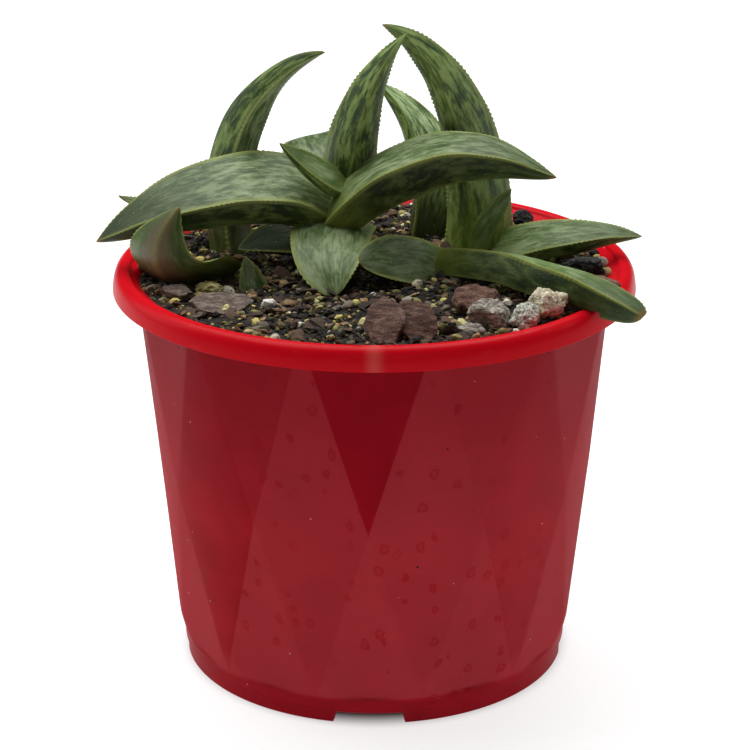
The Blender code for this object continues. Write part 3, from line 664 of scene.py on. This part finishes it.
def potFinish():
    # thin red plastic: painted light makes the rim bright where nothing dark is behind it and the wall darker;
    # dust, painted sheen and dried water drops on the wall
    look = potSkin
    red = Finish("pot_plastic", roughness=look["roughness"], Specular_IOR_Level=look["specular"],
                 Coat_Roughness=look["coatRoughness"])
    place = red.placeInMm()
    x, y, z = red.parts(place)
    # painted light: the rim's colour is brighter than the wall's for light shining through the thin plastic
    wall = 1 - z.smooth(*look["litRimEdge"])
    mottled = red.ramp(red.cloud(place, 0.06, 4, 0.6), list(zip((0.35, 0.65), look["wall"])))
    skin = red.blend(wall, look["rim"], mottled)
    skin = red.blend(z.smooth(*look["shadeReach"]) * wall * look["shadeStrength"], skin, look["shade"])
    # a thin veil of dust and painted sheen, less on some facets and on the lip, and thinned by painted shade
    # under the rim
    flatHaze, lozengeHaze, inside = red.parts(red.attribute("haze", "Vector"))
    haze = lozengeHaze + (flatHaze - lozengeHaze) * inside.smooth(-0.12, 0.12)
    dustAndSheen = haze * (0.75 + red.cloud(place, 0.05, 5, 0.6) * 0.5) * wall
    dustAndSheen = dustAndSheen * (look["lipDust"] + z.smooth(*look["lipEdge"]) * (1 - look["lipDust"]))
    # painted shade under the rim: less dust and sheen towards the top of the wall
    dustAndSheen = dustAndSheen * (1 - z.smooth(*look["underRimShadeReach"]) * look["underRimShade"])
    # dried drops took dust with them: each mark is a ring with a fainter middle
    wobble = red.cloud(place, 0.45, 2, 0.5).also("Color")
    bend = {0: wobble, 1: (look["dropBend"],) * 3, 2: place}
    bent = red.node("ShaderNodeVectorMath", {"operation": "MULTIPLY_ADD"}, bend)
    drops = red.cells(red.stretched(bent, look["dropSize"]), 1.0)
    chosen = red.parts(drops.also("Color"))[0].smooth(0.45, 0.5)
    region = red.cloud(place, 0.022, 2, 0.5).smooth(0.38, 0.52)
    spot = (1 - drops.smooth(0.26, 0.32)) * (0.4 + drops.smooth(0.14, 0.2) * 0.6) * chosen * region
    dustAndSheen = dustAndSheen * (1 - spot * look["dropStrength"])
    # painted sheen with the dust: the red is lifted towards the glow colour and paled where the mask is high
    skin = red.blend(dustAndSheen * look["glowStrength"], skin, look["glow"])
    skin = red.blend(dustAndSheen * look["dustAndSheenStrength"], skin, tone(*look["dustAndSheen"]))
    # pale cloudy patches on the rim
    palePatch = red.cloud(red.stretched(place, (0.10, 0.10, 0.3)), 1.0, 4, 0.6).smooth(0.6, 0.8) * (1 - wall)
    skin = red.blend(palePatch * look["palePatchStrength"], skin, tone(*look["palePatch"]))
    # a painted highlight: a pale patch on the front of the rim
    rimHighlight = (1 - x.maths("ABSOLUTE") * look["rimHighlightWidth"]).smooth(0.0, 1.0) * (-1 * y).smooth(62, 68) * (1 - wall)
    skin = red.blend(rimHighlight * look["rimHighlightStrength"], skin, tone(*look["rimHighlight"]))
    # pale and dark specks of grit
    pale = red.cells(place, 0.32)
    gritty = red.parts(pale.also("Color"))[1].smooth(0.86, 0.9) * look["gritStrength"]
    skin = red.blend((1 - pale.smooth(0.05, 0.09)) * gritty, skin, tone(*look["grit"]))
    dark = red.cells(place, 0.21)
    gritty = red.parts(dark.also("Color"))[2].smooth(0.9, 0.93)
    skin = red.blend((1 - dark.smooth(0.05, 0.09)) * gritty, skin, tone(*look["darkGrit"]))
    rough = look["roughness"] + dustAndSheen * look["dustRough"] + red.cloud(place, 0.8, 3) * look["grainRough"]
    warp = red.bump(red.cloud(place, 0.05, 2, 0.5), *look["warp"])
    normal = red.bump(red.cloud(place, 1.6, 3, 0.6), *look["grain"], warp)
    return red.feed(Base_Color=skin, Roughness=rough, Normal=normal, Coat_Weight=(1 - wall) * look["rimCoat"])


# The soil: a lumpy surface, then thousands of grains of bark, grit and perlite on it
soil = dict(
    columns=240, rings=90, edge=63.4, top=108.4, relief=1.5,
    lumpScale=0.09, lumpSlice=3.7, lumpFractal=(0.9, 2.1, 5),
    calm=0.6, calmFrom=0.85, calmWidth=0.15,  # near the wall the surface is calmer
    moundAt=(-8, 14), moundHeight=0.9, moundSpread=700,
    below=((60.6, 106.0), (50.7, 8.0), (50.3, 5.1)),  # radius, z of the plug's side
    tones=((0.25, (10, 8, 5)), (0.5, (26, 21, 14)), (0.72, (52, 42, 29))), smoothAngle=math.radians(60),
)
grains = {
    # how many, smallest and largest size, breadth, flatness, colour
    "grit_dark": (2400, 0.7, 2.8, 0.8, 0.7, (27, 22, 14)),
    "grit_brown": (900, 0.8, 3.2, 0.7, 0.5, (92, 67, 44)),
    "grit_tan": (560, 0.8, 3.2, 0.8, 0.7, (150, 122, 84)),
    "grit_yellow": (520, 0.8, 3.0, 0.8, 0.7, (158, 148, 84)),
    "grit_moss": (700, 0.7, 2.6, 0.8, 0.7, (92, 92, 42)),
    "grit_grey": (420, 0.7, 2.6, 0.8, 0.6, (106, 100, 82)),
    "flake_bark": (260, 3.0, 7.5, 0.7, 0.28, (70, 51, 38)),
    "flake_grey": (90, 2.5, 6.0, 0.7, 0.4, (100, 91, 76)),
    "perlite_white": (70, 1.4, 4.0, 0.85, 0.85, (222, 212, 188)),
    "perlite_yellow": (90, 1.6, 4.2, 0.8, 0.8, (198, 188, 128)),
    "fibre_dark": (420, 2.0, 7.0, 0.12, 0.11, (44, 34, 26)),
    "fibre_pale": (130, 2.0, 6.0, 0.10, 0.09, (150, 130, 96)),
}
grainMake = dict(
    firstSeed=40, shapes=8, lump=0.42, ragged=0.12, edgeGap=0.9, sizeSkew=2.2,
    breadths=(0.7, 1.2), heights=(0.6, 1.1), turns=(0, 6.28), tilt=0.45, roll=0.2, lift=(0.02, 0.42),
    fibreBreadth=0.2, fibreLift=0.4, darkest=0.35, lightest=1.9, smoothAngle=math.radians(35),
)


def soilHeight(x, y):
    scale = soil["lumpScale"]
    spot = Vector((x * scale, y * scale, soil["lumpSlice"]))
    height = noise.fractal(spot, *soil["lumpFractal"]) * soil["relief"]
    outward = max(math.hypot(x, y) / soil["edge"] - soil["calmFrom"], 0)
    calm = 1 - soil["calm"] * outward / soil["calmWidth"]
    away = (x - soil["moundAt"][0]) ** 2 + (y - soil["moundAt"][1]) ** 2
    return soil["top"] + height * calm + soil["moundHeight"] * math.exp(-away / soil["moundSpread"])


def makeSoil(material):
    angles = np.arange(soil["columns"]) * 2 * math.pi / soil["columns"]
    points = []
    for ring in range(1, soil["rings"] + 1):
        radius = soil["edge"] * ring / soil["rings"]
        points += [(x, y, soilHeight(x, y)) for x, y in (onCircle(radius, a) for a in angles)]
    for radius, z in soil["below"]:
        points += [(*onCircle(radius, a), z) for a in angles]
    rows = soil["rings"] + len(soil["below"])
    faces = ringFaces(rows, soil["columns"]) + poleFans(rows, soil["columns"], len(points), len(points) + 1)
    points += [(0, 0, soilHeight(0, 0)), (0, 0, soil["below"][-1][1])]
    addPiece("soil_mix", points, [f[::-1] for f in faces], material, ["soil", "crown_left", "crown_right"],
             soil["smoothAngle"])


def pointsAndFaces(ball):
    ball.verts.ensure_lookup_table()
    points = np.array([v.co[:] for v in ball.verts])
    faces = np.array([[v.index for v in f.verts] for f in ball.faces])
    ball.free()
    return points, faces


def lumpShapes(seed):
    # a few rough unit stones that the grains are copied from
    draws = random.Random(seed)
    shapes = []
    for index in range(grainMake["shapes"]):
        ball = bmesh.new()
        bmesh.ops.create_icosphere(ball, subdivisions=2, radius=1.0)
        for vert in ball.verts:
            lump = grainMake["lump"] * noise.noise(vert.co * 1.1 + Vector((index * 5.0, seed, 0)))
            vert.co *= 1 + lump + grainMake["ragged"] * draws.uniform(-1, 1)
        shapes.append(pointsAndFaces(ball))
    return shapes


def makeGrains(name, count, small, large, breadth, flatness, colour, seed):
    make = grainMake
    draws = random.Random(seed)
    shapes = lumpShapes(seed)
    points, faces, tints, start = [], [], [], 0
    for _ in range(count):
        radius = (soil["edge"] - make["edgeGap"]) * math.sqrt(draws.random())
        x, y = onCircle(radius, draws.uniform(0, 2 * math.pi))
        size = small + (large - small) * draws.random() ** make["sizeSkew"]
        shape, skin = shapes[draws.randrange(len(shapes))]
        wide, high = breadth * draws.uniform(*make["breadths"]), flatness * draws.uniform(*make["heights"])
        squash = np.array([1.0, wide, high]) * size / 2
        turn = Matrix.Rotation(draws.uniform(*make["turns"]), 3, "Z")
        turn = turn @ Matrix.Rotation(draws.gauss(0, make["tilt"]), 3, "X")
        turn = turn @ Matrix.Rotation(draws.gauss(0, make["roll"]), 3, "Y")
        lift = size * flatness * draws.uniform(*make["lift"])
        lift += make["fibreLift"] if breadth < make["fibreBreadth"] else 0.0
        points.append((shape * squash) @ np.array(turn).T + (x, y, soilHeight(x, y) + lift))
        faces.append(skin + start)
        tints.append(np.full(len(shape), draws.random()))
        start += len(shape)
    piece = addPiece(name, np.concatenate(points), np.concatenate(faces), grainFinish(name, colour), (),
                     make["smoothAngle"])
    setAttribute(piece.data, "tint", np.concatenate(tints))


def grainFinish(name, colour):
    grain = Finish(name + "_skin", roughness=0.88)
    place = grain.placeInMm()
    dark = dimmed(tone(*colour), grainMake["darkest"])
    light = tuple(min(c, 0.85) for c in dimmed(tone(*colour), grainMake["lightest"]))
    veins = grain.cloud(place, 1.7, 4, 0.65)
    mixed = grain.attribute("tint") * 0.6 + veins * 0.4
    skin = grain.ramp(mixed, [(0.2, dark), (0.5, tone(*colour)), (0.8, light)])
    normal = grain.bump(grain.cloud(place, 3.0, 4, 0.7), 0.7, 0.0004)
    return grain.feed(Base_Color=skin, Normal=normal)


def soilFinish():
    mix = Finish("soil_mix_skin", roughness=0.95)
    place = mix.placeInMm()
    crumbs = mix.cells(place, 0.9)
    clods = mix.cloud(place, 0.35, 5, 0.7)
    skin = mix.ramp(clods * 0.6 + crumbs * 0.4, [(at, tone(*t)) for at, t in soil["tones"]])
    normal = mix.bump(clods, 0.8, 0.0012, mix.bump(crumbs, 0.8, 0.001))
    return mix.feed(Base_Color=skin, Normal=normal)


# Loose top dressing: centre, size, turn in degrees, tilt in degrees, height of the lowest point, look, and
# the slot where it isn't its look's own
chips = {
    "bark_chip_flat": dict(at=(-39, -32), size=(17, 11, 2.8), turn=5, tilt=18, low=107.2, look="barkGrey"),
    "bark_plate_left": dict(at=(2.5, -53.5), size=(12, 15, 2.8), turn=-12, tilt=38, low=106.4, look="bark"),
    "bark_plate_right": dict(at=(10.5, -51.5), size=(12, 14, 3.0), turn=14, tilt=42, low=107.0, look="bark"),
    "bark_chip_red": dict(at=(26, -32), size=(12.5, 9, 4.6), turn=30, tilt=34, low=107.4, look="barkRed"),
    "bark_chip_grey": dict(at=(29, -42.5), size=(10, 11, 8.0), turn=70, tilt=10, low=106.6, look="barkAsh"),
    "bark_chip_grey_small": dict(
        at=(24, -50), size=(7.5, 5, 3.0), turn=-20, tilt=10, low=107.4, look="barkAsh"),
    "stone_white": dict(at=(38, -44), size=(8.5, 7.5, 8.0), turn=10, tilt=0, low=107.0, look="stone"),
    "stone_tan": dict(at=(44, -38.5), size=(11, 9, 9.0), turn=20, tilt=0, low=107.6, look="stoneTan"),
    "charcoal_lump": dict(at=(56, -4), size=(12, 8, 6.5), turn=-25, tilt=0, low=108.0, look="coal"),
    "twig_stub": dict(at=(59, -14), size=(6, 3, 3.0), turn=60, tilt=25, low=108.2, look="bark"),
    "bark_chip_rim": dict(at=(60, -28), size=(12, 4, 4.0), turn=-62, tilt=0, low=111.5, look="barkRed"),
    "dark_chunk_back": dict(at=(42, 43), size=(7, 6, 5.0), turn=0, tilt=0, low=107.8, look="coal", slot="bark"),
    "pebble_yellow": dict(at=(-43, -20), size=(9, 6, 4.5), turn=15, tilt=0, low=107.6, look="pebble"),
    "bark_chip_left": dict(at=(-51, -22), size=(10, 6, 3.2), turn=-35, tilt=12, low=107.6, look="barkGrey"),
}
looks = {
    # dark, middle and light tones, how layered, how pitted, slot
    "bark": (((46, 28, 20), (84, 56, 43), (128, 100, 84)), 1.0, 0.2, "bark"),
    "barkGrey": (((58, 46, 40), (98, 82, 72), (142, 128, 116)), 1.0, 0.2, "bark"),
    "barkRed": (((58, 34, 26), (106, 72, 58), (146, 112, 94)), 0.8, 0.2, "bark"),
    "barkAsh": (((46, 42, 38), (136, 128, 116), (206, 198, 184)), 1.6, 0.3, "bark"),
    "stone": (((118, 118, 100), (212, 216, 198), (250, 252, 242)), 0.0, 1.0, "stone"),
    "stoneTan": (((122, 104, 72), (224, 212, 180), (252, 248, 232)), 0.0, 1.0, "stone"),
    "pebble": (((96, 88, 44), (168, 158, 100), (216, 208, 160)), 0.0, 0.8, "pebble"),
    "coal": (((8, 8, 9), (28, 28, 30), (70, 70, 72)), 0.6, 0.6, "charcoal"),
}
chipMake = dict(
    detail=5, plateShare=0.42, platePlanes=9, lumpPlanes=16, planeReach=(0.72, 0.95), plateSquare=0.45,
    # how close together and how high the waves of the surface are, from broad to fine
    broad=(1.3, 0.18), middle=(3.4, 0.10), fine=(9, 0.05), pits=(3.2, 0.10), pitLevel=0.35, dents=(6, 0.05),
    steps=(1.6, 0.05), stepCount=4, seams=(2.2, 7), seamHeight=0.10, smoothAngle=math.radians(50),
)


def chipPoint(point, planes, isPlate, layered, pitted, shift):
    # a point of the unit ball moved onto the broken surface of the chip
    make = chipMake
    p = point.copy()
    p *= min([1.0] + [reach / p.dot(aim) for aim, reach in planes if p.dot(aim) > reach])
    if isPlate:  # squarer in height
        p.z = math.copysign(abs(p.z) ** make["plateSquare"], p.z)
    (broad, broadHigh), (middle, middleHigh), (fine, fineHigh) = make["broad"], make["middle"], make["fine"]
    outline = 1 + broadHigh * noise.noise(Vector((p.x, p.y, 0)) * broad + shift)
    outline += middleHigh * noise.noise(p * middle + shift)
    outline += fineHigh * noise.noise(p * fine + shift) * (1 + pitted)
    if pitted > 0.5:
        (pits, pitsDeep), (dents, dentsDeep) = make["pits"], make["dents"]
        outline -= pitsDeep * max(0.0, make["pitLevel"] - noise.cell(p * pits + shift))
        outline -= dentsDeep * abs(noise.noise(p * dents + shift))
    if not layered:
        return p * outline
    steps, stepsHigh = make["steps"]
    level = math.floor(make["stepCount"] * (noise.noise(p * steps - shift) + p.z)) / make["stepCount"]
    moved = p * (outline + stepsHigh * layered * level)
    along, across = make["seams"]
    moved.z += make["seamHeight"] * layered * noise.noise(Vector((p.x * along, p.y * across, p.z)) + shift)
    return moved


def makeChip(name, chip, seed):
    # a lump or plate whose broken faces are planes at random angles
    tones, layered, pitted, slot = looks[chip["look"]]
    ball = bmesh.new()
    bmesh.ops.create_icosphere(ball, subdivisions=chipMake["detail"], radius=1.0)
    isPlate = chip["size"][2] / chip["size"][0] < chipMake["plateShare"]
    draws = random.Random(seed)
    planes = []
    for _ in range(chipMake["platePlanes" if isPlate else "lumpPlanes"]):
        aim = Vector((draws.gauss(0, 1), draws.gauss(0, 1), 0 if isPlate else draws.gauss(0, 1))).normalized()
        planes.append((aim, draws.uniform(*chipMake["planeReach"])))
    shift = Vector((seed * 3.1, seed * 1.7, 0))
    for vert in ball.verts:
        vert.co = chipPoint(vert.co, planes, isPlate, layered, pitted, shift)
    bmesh.ops.scale(ball, vec=[side / 2 for side in chip["size"]], verts=ball.verts)
    turn = Matrix.Rotation(math.radians(chip["turn"]), 3, "Z")
    turn = turn @ Matrix.Rotation(math.radians(chip["tilt"]), 3, "X")
    bmesh.ops.rotate(ball, matrix=turn, verts=ball.verts)
    points, faces = pointsAndFaces(ball)
    points += (*chip["at"], chip["low"] - points[:, 2].min())
    finish = chipFinish(name, [tone(*t) for t in tones], layered, pitted)
    addPiece(name + "_rough", points, faces, finish, [name], chipMake["smoothAngle"])


def chipFinish(name, tones, layered, pitted):
    skin = Finish(name + "_skin", roughness=0.85)
    place = skin.placeInMm()
    layers = skin.stretched(place, (0.5, 1.3, 1.6 * layered)) if layered else place
    grainy = skin.cloud(layers, 0.7, 5, 0.65)
    fine = skin.cloud(place, 2.6, 4, 0.7)
    colour = skin.ramp(grainy * 0.65 + fine * 0.35, list(zip((0.38, 0.5, 0.62), tones)))
    pits = 1 - skin.cells(place, 0.7).smooth(0.05, 0.22)
    colour = skin.blend(pits * pitted * 0.5, colour, tones[0])
    normal = skin.bump(fine, 0.5, 0.0005, skin.bump(grainy, 0.5 + pitted * 0.4, 0.0010))
    return skin.feed(Base_Color=colour, Roughness=0.7 + fine * 0.3, Normal=normal)


studio = dict(
    reach=6.0, floorTone=0.4, floorGlow=0.78, paintedShadowUnderPot=(0.046, 0.056),  # painted shadow: the floor doesn't glow under the pot
    fill=0.05,
    lights=dict(
        top=dict(at=(-0.1, 0.35, 1.1), aim=(0, 0.05, 0.1), size=(1.3, 0.9), power=18.5),
        backLeft=dict(at=(-1.0, 0.35, 0.6), aim=(0, 0, 0.12), size=(0.7, 0.9), power=4),
        backRight=dict(at=(1.1, 0.45, 0.5), aim=(0, 0, 0.12), size=(0.7, 0.9), power=3),
        front=dict(at=(0.1, -1.3, 0.7), aim=(0, 0, 0.1), size=(0.9, 0.6), power=0.8),
    ),
)
view = dict(at=(0.17, -652.2, 323.45), pitch=20.57, lens=122.72, sensor=36, nearest=0.01)


def makeStage():
    # a pale floor to stand on, large enough for every view
    reach, grey = studio["reach"], studio["floorTone"]
    mesh = bpy.data.meshes.new("floor")
    corners = [(-reach, -reach, 0), (reach, -reach, 0), (reach, reach, 0), (-reach, reach, 0)]
    mesh.from_pydata(corners, [], [(0, 1, 2, 3)])
    floor = addObject("floor", mesh)
    pale = Finish("pale_floor", roughness=0.9, Base_Color=(grey, grey, grey, 1), Specular_IOR_Level=0.0,
                  Emission_Strength=studio["floorGlow"])
    away = pale.node("ShaderNodeVectorMath", {"operation": "LENGTH"}, {0: pale.place()}, "Value")
    # painted shadow: the floor's glow is cut to black under the pot
    glow = pale.ramp(away.smooth(*studio["paintedShadowUnderPot"]), [(0.0, (0.0, 0.0, 0.0)), (1.0, (1.0, 1.0, 1.0))])
    mesh.materials.append(pale.feed(Emission_Color=glow))


def makeLights():
    world = bpy.data.worlds.new("studio")
    bpy.context.scene.world = world
    world.use_nodes = True
    background = world.node_tree.nodes["Background"]
    background.inputs["Color"].default_value = (1, 1, 1, 1)
    background.inputs["Strength"].default_value = studio["fill"]
    for name, light in studio["lights"].items():
        data = bpy.data.lights.new(name, "AREA")
        data.shape = "RECTANGLE"
        data.size, data.size_y = light["size"]
        data.energy = light["power"]
        lamp = addObject(name, data)
        lamp.location = light["at"]
        lamp.rotation_euler = (Vector(light["aim"]) - lamp.location).to_track_quat("-Z", "Y").to_euler()


def makeCamera():
    data = bpy.data.cameras.new("camera")
    data.lens = view["lens"]
    data.sensor_width = view["sensor"]
    data.clip_start = view["nearest"]
    camera = addObject("camera", data)
    camera.location = [c * mm for c in view["at"]]
    camera.rotation_euler = (math.radians(90 - view["pitch"]), 0, 0)
    bpy.context.scene.camera = camera
    bpy.context.scene.view_settings.view_transform = "Standard"


makeCamera()
makeStage()
makeLights()
print("studio made")
makePot(potFinish())
makeSoil(soilFinish())
for index, (name, grain) in enumerate(grains.items()):
    makeGrains(name, *grain, grainMake["firstSeed"] + index)
print("soil and grit made")
for index, (name, chip) in enumerate(chips.items()):
    makeChip(name, chip, index + 1)
print("top dressing made")
makeLeaves()
